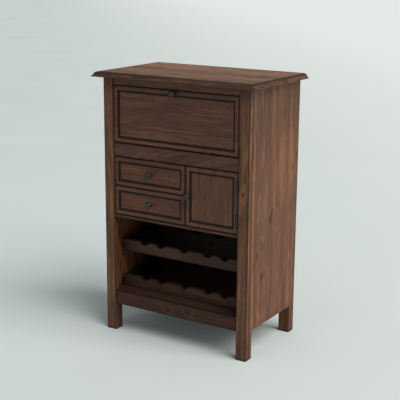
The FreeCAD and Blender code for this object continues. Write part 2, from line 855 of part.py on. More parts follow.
for count, name in enumerate(("lower", "upper")):
    low = fronts_floor + d.front_gap + (drawer_tall + d.front_gap) * count
    box_low = low + d.drawer_box_drop
    box_high = box_low + box_side_tall
    sunk_front(f"{name}_drawer_front", drawer_left, low, drawer_wide, drawer_tall)
    knob(f"{name}_drawer_knob", (drawer_left + drawer_right) / 2, low + drawer_tall / 2, field)
    for hand, section, across in (
        ("left", left_section, box_left),
        ("right", right_section, box_inner_right),
    ):
        side = prism(f"{name}_drawer_{hand}_side", "XZ_Plane", section, box_back - fronts_back)
        node(place(side, across, fronts_back, box_low))
    node(board(
        f"{name}_drawer_back",
        (box_inner_left, box_back - d.drawer_side_thickness, box_low + floor_top),
        (box_inner_right, box_back, box_high),
    ))
    node(board(
        f"{name}_drawer_bottom",
        (box_inner_left - d.drawer_bottom_let_in, fronts_back, box_low + d.drawer_bottom_level),
        (box_inner_right + d.drawer_bottom_let_in, box_back, box_low + floor_top),
    ))
    tongue_up = box_low + d.runner_groove_level + d.runner_clearance
    batten = prism(f"left_runner_{name}", "XZ_Plane", runner_section, runner_back - runner_front)
    left_runners.append(place(batten, left_inner, runner_front, tongue_up - tongue_low))
    right_runners.append(board(
        f"right_runner_{name}",
        (partition_left - tongue_reach, runner_front, tongue_up),
        (partition_left, runner_back, tongue_up + tongue_tall),
    ))
group("left_runners", left_runners)
group("right_runners", right_runners)


# Door on two butt hinges

door_left = d.door_gap_offset + d.front_gap / 2
door_right = stile_right - d.front_gap
door_low = fronts_floor + d.front_gap
door_tall = d.fronts_height - d.front_gap * 2
door_middle = door_low + door_tall / 2
sunk_front("door_panel", door_left, door_low, door_right - door_left, door_tall)
knob("door_knob", door_left + d.knob_inset, door_middle, face)

hinge_across = stile_right - d.front_gap / 2
hinge_back = front - d.knuckle_radius - d.knuckle_clearance
knuckle_third = d.hinge_height / 3
knuckle_gap = d.knuckle_clearance / 2
plate_start = front + d.leaf_start - hinge_back
plate_end = plate_start + d.leaf_depth
upper_third = knuckle_third * 2
door_leaf_outline = [
    Corner(plate_start, ZERO),
    Corner(plate_end, ZERO),
    Corner(plate_end, d.hinge_height),
    Corner(plate_start, d.hinge_height),
    Corner(plate_start, upper_third - knuckle_gap),
    Corner(ZERO, upper_third - knuckle_gap),
    Corner(ZERO, knuckle_third + knuckle_gap),
    Corner(plate_start, knuckle_third + knuckle_gap),
]
stile_leaf_outline = [
    Corner(ZERO, ZERO),
    Corner(plate_end, ZERO),
    Corner(plate_end, d.hinge_height),
    Corner(ZERO, d.hinge_height),
    Corner(ZERO, upper_third + knuckle_gap),
    Corner(plate_start, upper_third + knuckle_gap),
    Corner(plate_start, knuckle_third - knuckle_gap),
    Corner(ZERO, knuckle_third - knuckle_gap),
]
end_knuckle = knuckle_third - knuckle_gap
middle_knuckle = knuckle_third - d.knuckle_clearance


def hinge_leaf(label, outline, near, knuckles, hole, low):
    """A leaf let into the gap beside the door, with its knuckles round the hinge line."""
    leaf = prism(label, "YZ_Plane", outline, d.leaf_thickness)
    across = hinge_across - near
    for level, tall in knuckles:
        boss(leaf, "XY_Plane", level, across, ZERO, d.knuckle_radius, tall)
    bore(leaf, "XY_Plane", ZERO, across, ZERO, hole, d.hinge_height, True)
    return place(leaf, near, hinge_back, low)


def hinge_pin(label, low):
    pin = rod(label, "XY_Plane", d.hinge_pin_radius, d.hinge_height)
    boss(pin, "XY_Plane", ZERO, ZERO, ZERO, d.hinge_pin_head_radius, d.hinge_pin_head_height, True)
    boss(pin, "XY_Plane", d.hinge_height, ZERO, ZERO, d.hinge_pin_head_radius, d.hinge_pin_head_height)
    return place(pin, hinge_across, hinge_back, low)


door_leaves = []
stile_leaves = []
hinge_pins = []
for name, offset in (("lower", -d.hinge_offset), ("upper", d.hinge_offset)):
    low = door_middle + offset - d.hinge_height / 2
    door_hole = d.hinge_pin_radius + d.running_clearance
    middle = [(knuckle_third + knuckle_gap, middle_knuckle)]
    ends = [(ZERO, end_knuckle), (upper_third + knuckle_gap, end_knuckle)]
    stile_near = stile_right - d.leaf_thickness
    door_leaves.append(hinge_leaf(f"door_leaf_{name}", door_leaf_outline, door_right, middle, door_hole, low))
    stile_leaves.append(
        hinge_leaf(f"stile_leaf_{name}", stile_leaf_outline, stile_near, ends, d.hinge_pin_radius, low)
    )
    hinge_pins.append(hinge_pin(f"hinge_pin_{name}", low))
group("door_hinge_leaves", door_leaves)
group("stile_hinge_leaves", stile_leaves)
group("hinge_pins", hinge_pins)


# Magnetic catches

strike_back = fronts_back + d.strike_thickness
catch_front = strike_back + d.catch_gap
catch_back = catch_front + d.catch_depth
strike_half = d.strike_width / 2
strike_high = flap_top - d.strike_inset
strike_low = strike_high - d.strike_height
door_strike = partition_right + d.strike_inset
node(board("flap_strike", (-strike_half, fronts_back, strike_low), (strike_half, strike_back, strike_high)))
node(board("flap_catch", (-strike_half, catch_front, strike_low), (strike_half, catch_back, top_under)))
node(board(
    "door_strike",
    (door_strike, fronts_back, door_middle - strike_half),
    (door_strike + d.strike_height, strike_back, door_middle + strike_half),
))
node(board(
    "door_catch",
    (partition_right, catch_front, door_middle - strike_half),
    (partition_right + d.door_catch_width, catch_back, door_middle + strike_half),
))


# Every object is checked before any file is written

doc.recompute()
for item in doc.Objects:
    if "Invalid" in item.State or "Error" in item.State:
        raise RuntimeError(f"{item.Label} failed: {item.State}")
for item in nodes:
    if item.Shape.isNull() or not item.Shape.isValid():
        raise RuntimeError(f"{item.Label} has no valid shape")
os.makedirs("parts", exist_ok=True)
for item in nodes:
    item.Shape.exportStep(f"parts/{item.Label}.step")
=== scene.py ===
import logging
import math
from dataclasses import dataclass, replace
from enum import Enum
from typing import Any, Optional, Union

import bmesh
import bpy
from bmesh.types import BMesh
from bpy.types import Material, Node, NodeSocket, NodeTree
from mathutils import Matrix, Quaternion, Vector


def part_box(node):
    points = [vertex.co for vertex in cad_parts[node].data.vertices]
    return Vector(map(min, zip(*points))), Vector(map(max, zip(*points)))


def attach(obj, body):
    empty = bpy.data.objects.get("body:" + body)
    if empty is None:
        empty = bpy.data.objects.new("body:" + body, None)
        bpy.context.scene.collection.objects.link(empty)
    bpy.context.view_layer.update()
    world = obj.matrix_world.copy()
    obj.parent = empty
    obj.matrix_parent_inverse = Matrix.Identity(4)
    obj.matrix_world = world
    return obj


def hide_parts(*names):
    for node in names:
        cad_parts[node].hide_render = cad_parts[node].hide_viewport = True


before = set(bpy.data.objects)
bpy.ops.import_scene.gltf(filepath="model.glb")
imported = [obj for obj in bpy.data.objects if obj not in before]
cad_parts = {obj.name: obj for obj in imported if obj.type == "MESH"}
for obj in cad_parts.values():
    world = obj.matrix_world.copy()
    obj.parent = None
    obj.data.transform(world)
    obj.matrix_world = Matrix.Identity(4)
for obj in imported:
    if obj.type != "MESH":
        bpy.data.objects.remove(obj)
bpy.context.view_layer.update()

log = logging.getLogger("bar_cabinet")

MM = 0.001

# What feeds a node's input, and short names for rows of numbers
Source = Union[Node, NodeSocket]
Pair = tuple[float, float]
Triple = tuple[float, float, float]


class Axis(Enum):
    """A direction in the cabinet's frame."""

    ACROSS = 0
    DEEP = 1
    UPRIGHT = 2


class Kind(Enum):
    """The node types that the finishes use, without the start of their names."""

    BACKGROUND = "Background"
    BUMP = "Bump"
    COORDS = "TexCoord"
    LIGHT_PATH = "LightPath"
    MAPPING = "Mapping"
    MATH = "Math"
    MIX = "Mix"
    MIX_SHADER = "MixShader"
    NOISE = "TexNoise"
    OUTPUT = "OutputMaterial"
    PRINCIPLED = "BsdfPrincipled"
    RANGE = "MapRange"
    SPLIT = "SeparateXYZ"
    VECTOR = "VectorMath"
    WHITE = "TexWhiteNoise"
    WORLD_OUTPUT = "OutputWorld"


# Settings that every node of a type has: ranges have soft ends, and mixes are of colours
SETTINGS = {Kind.RANGE: {"interpolation_type": "SMOOTHSTEP"}, Kind.MIX: {"data_type": "RGBA"}}
# A range's inputs after its value: a start and an end, and what these two give
START, END, LOW, HIGH = 1, 2, 3, 4
# A mix's two colours
FIRST, SECOND = 6, 7

# The middle of a noise, most of its spread, and nearly all of it
MIDDLE = 0.5
SPREAD = {START: 0.3, END: 0.7}
WIDE_SPREAD = {START: 0.2, END: 0.8}


def srgb(code: str) -> tuple[float, float, float, float]:
    """Turns an sRGB hex colour to linear.

    Args:
        code: six hex digits.

    Returns:
        Linear red, green and blue, and an alpha of 1.
    """
    parts = [int(code[start:start + 2], 16) / 255 for start in (0, 2, 4)]
    linear = [part / 12.92 if part <= 0.04045 else ((part + 0.055) / 1.055) ** 2.4 for part in parts]
    return (linear[0], linear[1], linear[2], 1.0)


def add(tree: NodeTree, kind: Kind, inputs: dict[Any, Any], **settings: Any) -> Node:
    """Adds one node with its settings, values and links.

    Args:
        tree: the node tree.
        kind: the node's type.
        inputs: for each input's name or number, a value, or the socket or node that feeds it. A node feeds it from
            its first output that is in use.
        settings: attributes of the node, besides those of its type.

    Returns:
        The new node.
    """
    node = tree.nodes.new(f"ShaderNode{kind.value}")
    for name, value in {**SETTINGS.get(kind, {}), **settings}.items():
        setattr(node, name, value)
    for key, value in inputs.items():
        if isinstance(value, Node):
            value = next(socket for socket in value.outputs if socket.enabled)
        if isinstance(value, NodeSocket):
            tree.links.new(value, node.inputs[key])
        else:
            node.inputs[key].default_value = value
    return node


def distance(tree: NodeTree, value: Source, middle: float) -> Node:
    """Finds how far a value lies from a middle.

    Args:
        tree: the node tree.
        value: what gives the value.
        middle: the middle.

    Returns:
        The node that gives the distance.
    """
    off = add(tree, Kind.MATH, {0: value, 1: middle}, operation="SUBTRACT")
    return add(tree, Kind.MATH, {0: off}, operation="ABSOLUTE")


def make_material(name: str) -> tuple[Material, NodeTree, NodeSocket]:
    """Makes a material with nothing but coordinates in its node tree.

    Args:
        name: the material's name.

    Returns:
        The material, its node tree and the socket that gives the object coordinates.
    """
    material = bpy.data.materials.new(name)
    material.use_nodes = True
    tree = material.node_tree
    tree.nodes.clear()
    return material, tree, add(tree, Kind.COORDS, {}).outputs["Object"]


@dataclass(frozen=True)
class SunkField:
    """The routed step and slope round a sunk field, in millimetres, with the glaze that is left there.

    Attributes:
        band: the width of the band round the field.
        slope: the width of the slope.
        depth: how deep the field lies.
        slack: how much deeper the glaze may lie.
        glaze_middle: where on the slope the glaze is darkest, as a share of its width.
        glaze_fade: how far from there it starts to fade and ends, as shares of the slope's width.
        glaze_share: how strong it is.
    """

    band: float = 17.5
    slope: float = 6.0
    depth: float = 5.0
    slack: float = 0.6
    glaze_middle: float = 0.55
    glaze_fade: Pair = (0.45, 1.15)
    glaze_share: float = 0.94


@dataclass(frozen=True)
class Moulding:
    """Where the glaze and the painted shade lie on a moulded edge, in millimetres below the board's upper face.

    Attributes:
        lines: the dark lines along its ledge and in its quirk, glaze with painted shade in the quirk: how far down,
            half the width, and how strong.
        line_fade: where a line starts to fade and ends, as shares of half its width.
        slope: where the glaze between them starts and is full; it is partly painted shade on the front of the
            moulding.
        slope_share: how strong that darkening is.
        worn: where it starts to be rubbed off, and where it has lost the most.
        fascia_share: how much of it is left there.
    """

    lines: tuple[Triple, ...] = ((1.2, 0.77, 0.93), (13.6, 1.4, 0.6))
    line_fade: Pair = (0.5, 1.5)
    slope: Pair = (0.48, 1.08)
    slope_share: float = 0.8
    worn: Pair = (5.44, 12.24)
    fascia_share: float = 0.3


@dataclass(frozen=True)
class Staves:
    """The edge-glued staves that a wide board is made of.

    Attributes:
        side: the axis along which they lie side by side.
        width: a stave's width in millimetres.
        jump: how far apart in the pattern two staves can be cut, in metres.
        glue_line: how far from a joint its dark line starts and is full, in millimetres.
        glue_share: how strong that line is.
    """

    side: Axis
    width: float
    jump: float = 7.0
    glue_line: Pair = (1.3, 0.3)
    glue_share: float = 0.5


@dataclass(frozen=True)
class Knot:
    """A knot in a board, in millimetres.

    Attributes:
        place: its centre, in the cabinet's frame.
        radius: its half width.
        length: its half length.
        tilt: how far its length rises to the right, in radians.
    """

    place: Triple
    radius: float
    length: float
    tilt: float


@dataclass(frozen=True)
class Board:
    """One board to be dressed.

    Attributes:
        grain: the axis of its grain.
        staves: the staves that it is glued from, if there are more than one.
        sunk: its sunk field, if it has one.
        moulding: where the glaze lies on its moulded edge, if it has one.
        knots: its knots.
        tilt: how far its grain rises to the right, in radians.
        inner_shade_factor: how much of its colour its inner face keeps at the back, under painted shade that darkens
            the inside towards the back.
    """

    grain: Axis
    staves: Optional[Staves] = None
    sunk: Optional[SunkField] = None
    moulding: Optional[Moulding] = None
    knots: tuple[Knot, ...] = ()
    tilt: float = 0.0
    inner_shade_factor: float = 1.0


@dataclass(frozen=True)
class Pattern:
    """A noise that lies along a board's grain.

    Attributes:
        size: its size across and along the grain, in millimetres.
        offset: moves it away from the other patterns on the same board.
        detail: how many finer layers it has.
        roughness: how strong the finer layers are.
        distortion: how far it is twisted.
    """

    size: Pair
    offset: float = 0.0
    detail: float = 2.0
    roughness: float = 0.5
    distortion: float = 0.0


@dataclass(frozen=True)
class Blank:
    """A board while its finish is made.

    Attributes:
        tree: the finish's node tree.
        coords: the object coordinates.
        low: the board's lowest corner.
        high: the board's highest corner.
        shift: moves its patterns, so that no two boards match.
        form: how the board is made.
    """

    tree: NodeTree
    coords: NodeSocket
    low: Vector
    high: Vector
    shift: float
    form: Board


# The wood's patterns, from the slow bend of the grain to the smears of glaze
DRIFT = Pattern((150.0, 420.0), offset=1.9, detail=1.0)
FIGURE = Pattern((74.0, 620.0), detail=3.0, distortion=0.5)
PATCHES = Pattern((12.0, 190.0), offset=15.2, detail=4.0, roughness=0.6)
STREAKS = Pattern((3.6, 210.0), offset=3.1, detail=5.0, roughness=0.64)
PORES = Pattern((1.3, 32.0), offset=6.4)
FLECKS = Pattern((10.0, 48.0), offset=9.7, detail=2.5, distortion=0.4)
SMEARS = Pattern((22.0, 90.0), offset=12.3, detail=3.0)

# Where each feature starts to show in its pattern, and where it shows in full
BODY_SHOWS = {START: 0.36, END: 0.64}
DARK_STAVES_SHOW = {START: 0.0, END: 0.45, HIGH: 0.0}
PALE_STAVES_SHOW = {START: 0.55, END: 1.0}
GREY_PATCHES_SHOW = {START: 0.5, END: 0.68}
PALE_PATCHES_SHOW = {START: 0.34, END: 0.48, HIGH: 0.0}
RINGS_SHOW = {START: 0.1, END: 1.0}
STREAKS_SHOW = {START: 0.5, END: 0.72}
PORES_SHOW = {START: 0.55, END: 0.7, HIGH: 0.5}
LINES_SHOW = {START: 0.003, END: 0.016, HIGH: 0.0}
LINES_KEPT = {START: 0.5, END: 0.58}
SMEARS_SHOW = {START: 0.56, END: 0.78}
FLECK_SPAN = 0.08

# How a board's shift moves its patterns along each axis, and how far apart two boards' shifts are
SHIFT_SHARES = (1.0, 1.7, 0.6)
BOARD_SHIFT = 17.37
# How far the drift bends the grain in millimetres, and how close and how strong the year rings are
DRIFT_REACH = 22.0
RING_PACE = 52.0
RING_SHARE = 0.45

# Glaze along an edge, in its widths: how much further a smear reaches, and where it starts to fade and ends
SMEAR_REACH = 2.0
EDGE_FADE = (0.6, 2.0)
# How far the edge itself is rubbed in millimetres, and how much glaze is left there
ARRIS_REACH = 0.2
ARRIS_SHARE = 0.45
# Where the painted shade under the top starts to fade, as a share of its reach
UNDER_TOP_SHADE_FULL = 0.3
# Dark scuffs on a foot, and the lower leg darker towards the bottom, by height
LEG_DARK_BANDS = ({START: 2 * MM, END: 14 * MM, LOW: 0.75, HIGH: 0.0},
              {START: 100 * MM, END: 150 * MM, LOW: 0.3, HIGH: 0.0})
# How near a face counts as on it, and where along the depth the painted shade inside starts and is full
FACE = 1 * MM
INNER_SHADE_RAMP = {START: -40 * MM, END: 130 * MM}

# A knot's wavering outline, pale halo, ring and eye, in shares of its radius
KNOT_SCALE = 1.3
KNOT_WAVER = {**SPREAD, LOW: -0.35, HIGH: 0.35}
KNOT_HALO = {START: 1.2, END: 3.0, LOW: 0.7, HIGH: 0.0}
KNOT_RING_REACH = 1.55
KNOT_RING = {START: 0.05, END: 0.3, LOW: 0.5, HIGH: 0.0}
KNOT_EYE = {START: 0.5, END: 1.15, LOW: 1.0, HIGH: 0.0}

# How the lacquer's roughness follows the streaks, how rough glaze is, and the relief of pores and streaks
LACQUER_SPREAD = {START: 0.3, END: 0.75}
SMOOTHER, ROUGHER = 0.07, 0.12
GLAZE_ROUGHNESS = 0.9
PORE_DEPTH = -0.6
RELIEF = {"Strength": 0.35, "Distance": 0.6 * MM}


@dataclass(frozen=True)
class StainedWood:
    """Rustic hardwood under a brown stain, with dark glaze left in its pores, along its edges and in its grooves.

    Attributes:
        name: the start of its materials' names.
        heart: the darker body colour.
        sap: the lighter body colour.
        streak: the colour of the dark grain streaks.
        patch: the colour of greyed patches and darker staves.
        light: the colour of pale patches, paler staves and sapwood.
        glaze: the colour of the glaze.
        stave_share: how much the staves differ.
        streak_share: how strong the streaks are.
        patches: the pattern of the patches.
        patch_share: how strong the patches are.
        flecks: the pattern of the dark flecks.
        fleck_share: how strong the flecks are.
        fleck_start: how much of the pattern lies below the flecks; a higher value gives fewer.
        line_share: how strong the wavy pale lines of sapwood are.
        edge_share: how strong the glaze along the edges is.
        edge_width: how far the glaze reaches from an edge, in millimetres.
        under_top_shade_share: how strong the painted shade under the top board is, where the overhang casts its
            shadow.
        under_top_shade_reach: how far it reaches down from there, in millimetres.
        roughness: the lacquer's roughness.
        sheen: how strongly the lacquer reflects.
    """

    name: str
    heart: str
    sap: str
    streak: str
    patch: str
    light: str
    glaze: str = "1d110a"
    stave_share: float = 0.4
    streak_share: float = 0.55
    patches: Pattern = PATCHES
    patch_share: float = 0.6
    flecks: Pattern = FLECKS
    fleck_share: float = 0.5
    fleck_start: float = 0.61
    line_share: float = 0.0
    edge_share: float = 0.85
    edge_width: float = 2.4
    # Painted shade under the top board: the colour darkens where the overhang casts its shadow
    under_top_shade_share: float = 0.4
    under_top_shade_reach: float = 70.0
    roughness: float = 0.5
    sheen: float = 0.25

    def lay(self, blank: Blank, coords: Source, pattern: Pattern) -> Node:
        """Lays a pattern along a board's grain.

        Args:
            blank: the board.
            coords: its coordinates, as they are or bent.
            pattern: the pattern.

        Returns:
            The node that gives the pattern.
        """
        scale = [1 / (pattern.size[0] * MM)] * 3
        scale[blank.form.grain.value] = 1 / (pattern.size[1] * MM)
        place = [(blank.shift + pattern.offset) * share for share in SHIFT_SHARES]
        stretched = add(blank.tree, Kind.MAPPING, {"Vector": coords, "Location": place, "Scale": scale})
        return add(blank.tree, Kind.NOISE, {"Vector": stretched, "Scale": 1.0, "Detail": pattern.detail,
                                            "Roughness": pattern.roughness, "Distortion": pattern.distortion})

    def lay_staves(self, blank: Blank, staves: Staves) -> tuple[Node, Node, Node]:
        """Divides a board into staves, each with its own piece of the pattern.

        Args:
            blank: the board.
            staves: its staves.

        Returns:
            The nodes that give the pattern's coordinates, each stave's own tone from 0 to 1, and the thin glue lines.
        """
        tree = blank.tree
        place = add(tree, Kind.SPLIT, {0: blank.coords}).outputs[staves.side.value]
        count = add(tree, Kind.MATH, {0: place, 1: 1 / (staves.width * MM), 2: blank.shift}, operation="MULTIPLY_ADD")
        number = add(tree, Kind.MATH, {0: count}, operation="FLOOR")
        tone = add(tree, Kind.WHITE, {"W": number}, noise_dimensions="1D")
        along = [0.0, 0.0, 0.0]
        along[blank.form.grain.value] = staves.jump
        laid = add(tree, Kind.VECTOR, {0: tone, 1: along, 2: blank.coords}, operation="MULTIPLY_ADD")
        part = add(tree, Kind.MATH, {0: count}, operation="FRACT")
        off = distance(tree, part, MIDDLE)
        start, end = (MIDDLE - reach / staves.width for reach in staves.glue_line)
        line = add(tree, Kind.RANGE, {0: off, START: start, END: end, HIGH: staves.glue_share})
        return laid, tone, line

    def insets(self, blank: Blank) -> list[NodeSocket]:
        """Finds how far inside its board's box a point lies.

        Args:
            blank: the board.

        Returns:
            Three sockets, one for each axis.
        """
        tree = blank.tree
        centre, half = (blank.low + blank.high) / 2, (blank.high - blank.low) / 2
        moved = add(tree, Kind.VECTOR, {0: blank.coords, 1: centre}, operation="SUBTRACT")
        spread = add(tree, Kind.VECTOR, {0: moved}, operation="ABSOLUTE")
        inset = add(tree, Kind.VECTOR, {0: half, 1: spread}, operation="SUBTRACT")
        return list(add(tree, Kind.SPLIT, {0: inset}).outputs)

    def edge_glaze_and_shade(self, blank: Blank, smear: Source) -> Node:
        """Finds how near a point is to an edge of its board: the middle of its three distances from the faces.

        The edge itself is rubbed paler, painted shade darkens the board under the top board, where the overhang casts
        its shadow, the lower leg is darker towards the bottom, and a foot is scuffed dark where it meets the floor.

        Args:
            blank: the board.
            smear: how far the glaze was left standing there, from 0 to 1.

        Returns:
            A node that is highest at the edges, under the top board and at the feet, and lowest away from them.
        """
        tree = blank.tree
        across, deep, upright = self.insets(blank)
        width = self.edge_width * MM
        least = add(tree, Kind.MATH, {0: across, 1: deep}, operation="MINIMUM")
        most = add(tree, Kind.MATH, {0: across, 1: deep}, operation="MAXIMUM")
        inner = add(tree, Kind.MATH, {0: most, 1: upright}, operation="MINIMUM")
        middle = add(tree, Kind.MATH, {0: least, 1: inner}, operation="MAXIMUM")
        near = add(tree, Kind.MATH, {0: smear, 1: -SMEAR_REACH * width, 2: middle}, operation="MULTIPLY_ADD")
        full, end = (width * share for share in EDGE_FADE)
        stain = add(tree, Kind.RANGE, {0: near, START: full, END: end, LOW: self.edge_share, HIGH: 0.0})
        rubbed = add(tree, Kind.RANGE, {0: middle, START: ARRIS_REACH * MM, END: full, LOW: ARRIS_SHARE})
        glaze = add(tree, Kind.MATH, {0: stain, 1: rubbed}, operation="MULTIPLY")

        level = add(tree, Kind.SPLIT, {0: blank.coords}).outputs[Axis.UPRIGHT.value]
        bands = []
        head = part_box("top_board")[0][2]
        reach = self.under_top_shade_reach * MM
        # Painted shade under the top board, where the overhang casts its shadow
        if abs(blank.high.z - head) < FACE:
            bands.append({START: head - reach, END: head - reach * UNDER_TOP_SHADE_FULL, HIGH: self.under_top_shade_share})
        # Dark scuffs on a foot, and the lower leg darker towards the bottom
        if blank.low.z < FACE:
            bands.extend(LEG_DARK_BANDS)
        for band in bands:
            darker_band = add(tree, Kind.RANGE, {0: level, **band})
            glaze = add(tree, Kind.MATH, {0: glaze, 1: darker_band}, operation="MAXIMUM")
        return glaze

    def moulding_glaze_and_shade(self, blank: Blank, moulding: Moulding) -> Node:
        """Darkens a moulded edge with glaze and painted shade, most of all along its ledge and in its sunk line.

        Args:
            blank: the board.
            moulding: where the glaze lies.

        Returns:
            A node that is highest in the two lines and 0 on the upper face.
        """
        tree = blank.tree
        level = add(tree, Kind.SPLIT, {0: blank.coords}).outputs[Axis.UPRIGHT.value]
        down = add(tree, Kind.MATH, {0: blank.high.z, 1: level}, operation="SUBTRACT")
        start, end = (reach * MM for reach in moulding.slope)
        glaze = add(tree, Kind.RANGE, {0: down, START: start, END: end, HIGH: moulding.slope_share})
        start, end = (reach * MM for reach in moulding.worn)
        worn = add(tree, Kind.RANGE, {0: down, START: start, END: end, LOW: 1.0, HIGH: moulding.fascia_share})
        glaze = add(tree, Kind.MATH, {0: glaze, 1: worn}, operation="MULTIPLY")
        for place, half, strength in moulding.lines:
            away = distance(tree, down, place * MM)
            start, end = (half * share * MM for share in moulding.line_fade)
            dark = add(tree, Kind.RANGE, {0: away, START: start, END: end, LOW: strength, HIGH: 0.0})
            glaze = add(tree, Kind.MATH, {0: glaze, 1: dark}, operation="MAXIMUM")
        return glaze

    def field_glaze(self, blank: Blank, sunk: SunkField) -> Node:
        """Finds the routed step and slope round a sunk field, where the glaze is left.

        Args:
            blank: the front.
            sunk: the step and slope.

        Returns:
            A node that is highest in the routed groove and 0 away from it.
        """
        tree = blank.tree
        across, _, upright = self.insets(blank)
        border = add(tree, Kind.MATH, {0: across, 1: upright}, operation="MINIMUM")
        groove = (sunk.band + sunk.slope * sunk.glaze_middle) * MM
        away = distance(tree, border, groove)
        start, end = (sunk.slope * share * MM for share in sunk.glaze_fade)
        line = add(tree, Kind.RANGE, {0: away, START: start, END: end, LOW: sunk.glaze_share, HIGH: 0.0})
        deep = add(tree, Kind.SPLIT, {0: blank.coords}).outputs[Axis.DEEP.value]
        floor = blank.low.y + (sunk.depth + sunk.slack) * MM
        facing = add(tree, Kind.MATH, {0: deep, 1: floor}, operation="LESS_THAN")
        return add(tree, Kind.MATH, {0: line, 1: facing}, operation="MULTIPLY")

    def inner_shade_mask(self, blank: Blank) -> Node:
        """Finds the inner face of an outer board, where painted shade grows towards the cabinet's back.

        Args:
            blank: the board.

        Returns:
            A node that is 1 on the inner face near the back and 0 on the other faces.
        """
        tree, low, high = blank.tree, blank.low, blank.high
        size = high - low
        thin = min(Axis, key=lambda axis: size[axis.value]).value
        parts = add(tree, Kind.SPLIT, {0: blank.coords}).outputs
        test, face = ("LESS_THAN", low[thin] + FACE) if low[thin] > 0.0 else ("GREATER_THAN", high[thin] - FACE)
        inner = add(tree, Kind.MATH, {0: parts[thin], 1: face}, operation=test)
        back = add(tree, Kind.RANGE, {0: parts[Axis.DEEP.value], **INNER_SHADE_RAMP})
        return add(tree, Kind.MATH, {0: inner, 1: back}, operation="MULTIPLY")

    def draw_knot(self, blank: Blank, knot: Knot, colour: Source) -> Node:
        """Draws a knot on a front: a dark, slanting eye with a ring round it, in paler wood.

        Args:
            blank: the board.
            knot: the knot.
            colour: the wood's colour.

        Returns:
            The node that gives the colour with the knot in it.
        """
        tree = blank.tree
        moved = add(tree, Kind.VECTOR, {0: blank.coords, 1: Vector(knot.place) * MM}, operation="SUBTRACT")
        turned = add(tree, Kind.MAPPING, {"Vector": moved, "Rotation": (0.0, knot.tilt, 0.0)})
        scale = (1 / (knot.length * MM), 1 / (knot.radius * MM), 1 / (knot.radius * MM))
        scaled = add(tree, Kind.VECTOR, {0: turned, 1: scale}, operation="MULTIPLY")
        waver = add(tree, Kind.NOISE, {"Vector": scaled, "Scale": KNOT_SCALE, "Detail": 2.0})
        waver = add(tree, Kind.RANGE, {0: waver, **KNOT_WAVER})
        reach = add(tree, Kind.VECTOR, {0: scaled}, operation="LENGTH")
        reach = add(tree, Kind.MATH, {0: reach, 1: waver}, operation="ADD")
        halo = add(tree, Kind.RANGE, {0: reach, **KNOT_HALO})
        colour = add(tree, Kind.MIX, {0: halo, FIRST: colour, SECOND: srgb(self.light)})
        ring = distance(tree, reach, KNOT_RING_REACH)
        ring = add(tree, Kind.RANGE, {0: ring, **KNOT_RING})
        eye = add(tree, Kind.RANGE, {0: reach, **KNOT_EYE})
        dark = add(tree, Kind.MATH, {0: ring, 1: eye}, operation="MAXIMUM")
        return add(tree, Kind.MIX, {0: dark, FIRST: colour, SECOND: srgb(self.glaze)})

    def board(self, piece: str, low: Vector, high: Vector, shift: float, form: Board) -> Material:
        """Makes the finish of one board.

        Args:
            piece: the board's name.
            low: the board's lowest corner.
            high: the board's highest corner.
            shift: moves the pattern, so that no two boards match.
            form: how the board is made.

        Returns:
            The material.
        """
        material, tree, coords = make_material(f"{self.name}_{piece}")
        blank = Blank(tree, coords, low, high, shift, form)
        laid = coords
        if form.tilt:
            laid = add(tree, Kind.MAPPING, {"Vector": coords, "Rotation": (0.0, form.tilt, 0.0)})
        if form.staves is not None:
            laid, tone, glue_line = self.lay_staves(blank, form.staves)
        drift = self.lay(blank, laid, DRIFT).outputs["Color"]
        drift = add(tree, Kind.VECTOR, {0: drift, 1: (MIDDLE, MIDDLE, MIDDLE)}, operation="SUBTRACT")
        drift = add(tree, Kind.VECTOR, {0: drift, "Scale": DRIFT_REACH * MM}, operation="SCALE")
        wavy = add(tree, Kind.VECTOR, {0: laid, 1: drift}, operation="ADD")

        figure = self.lay(blank, wavy, FIGURE)
        patches = self.lay(blank, wavy, self.patches)
        streaks = self.lay(blank, wavy, STREAKS)
        pores = self.lay(blank, wavy, PORES)
        flecks = self.lay(blank, wavy, self.flecks)
        rings = add(tree, Kind.MATH, {0: figure, 1: RING_PACE}, operation="MULTIPLY")
        rings = add(tree, Kind.MATH, {0: rings}, operation="SINE")
        rings = add(tree, Kind.RANGE, {0: rings, **RINGS_SHOW, HIGH: RING_SHARE * self.streak_share})
        dark = add(tree, Kind.RANGE, {0: streaks, **STREAKS_SHOW, HIGH: self.streak_share})
        dark = add(tree, Kind.MATH, {0: dark, 1: rings}, operation="MAXIMUM")
        layers = [
            (add(tree, Kind.RANGE, {0: patches, **GREY_PATCHES_SHOW, HIGH: self.patch_share}), self.patch),
            (add(tree, Kind.RANGE, {0: patches, **PALE_PATCHES_SHOW, LOW: self.patch_share}), self.light),
        ]
        if form.staves is not None:
            darker = add(tree, Kind.RANGE, {0: tone, **DARK_STAVES_SHOW, LOW: self.stave_share})
            paler = add(tree, Kind.RANGE, {0: tone, **PALE_STAVES_SHOW, HIGH: self.stave_share})
            layers = [(darker, self.patch), (paler, self.light), *layers]
            dark = add(tree, Kind.MATH, {0: dark, 1: glue_line}, operation="MAXIMUM")
        fleck_end = self.fleck_start + FLECK_SPAN
        layers += [
            (dark, self.streak),
            (add(tree, Kind.RANGE, {0: pores, **PORES_SHOW}), self.streak),
            (add(tree, Kind.RANGE, {0: flecks, START: self.fleck_start, END: fleck_end, HIGH: self.fleck_share}),
             self.glaze),
        ]
        if self.line_share:
            off = distance(tree, figure, MIDDLE)
            line = add(tree, Kind.RANGE, {0: off, **LINES_SHOW, LOW: self.line_share})
            broken = add(tree, Kind.RANGE, {0: patches, **LINES_KEPT})
            layers.append((add(tree, Kind.MATH, {0: line, 1: broken}, operation="MULTIPLY"), self.light))
        body = add(tree, Kind.RANGE, {0: figure, **BODY_SHOWS})
        colour = add(tree, Kind.MIX, {0: body, FIRST: srgb(self.heart), SECOND: srgb(self.sap)})
        for share, hue in layers:
            colour = add(tree, Kind.MIX, {0: share, FIRST: colour, SECOND: srgb(hue)})
        for knot in form.knots:
            colour = self.draw_knot(blank, knot, colour)

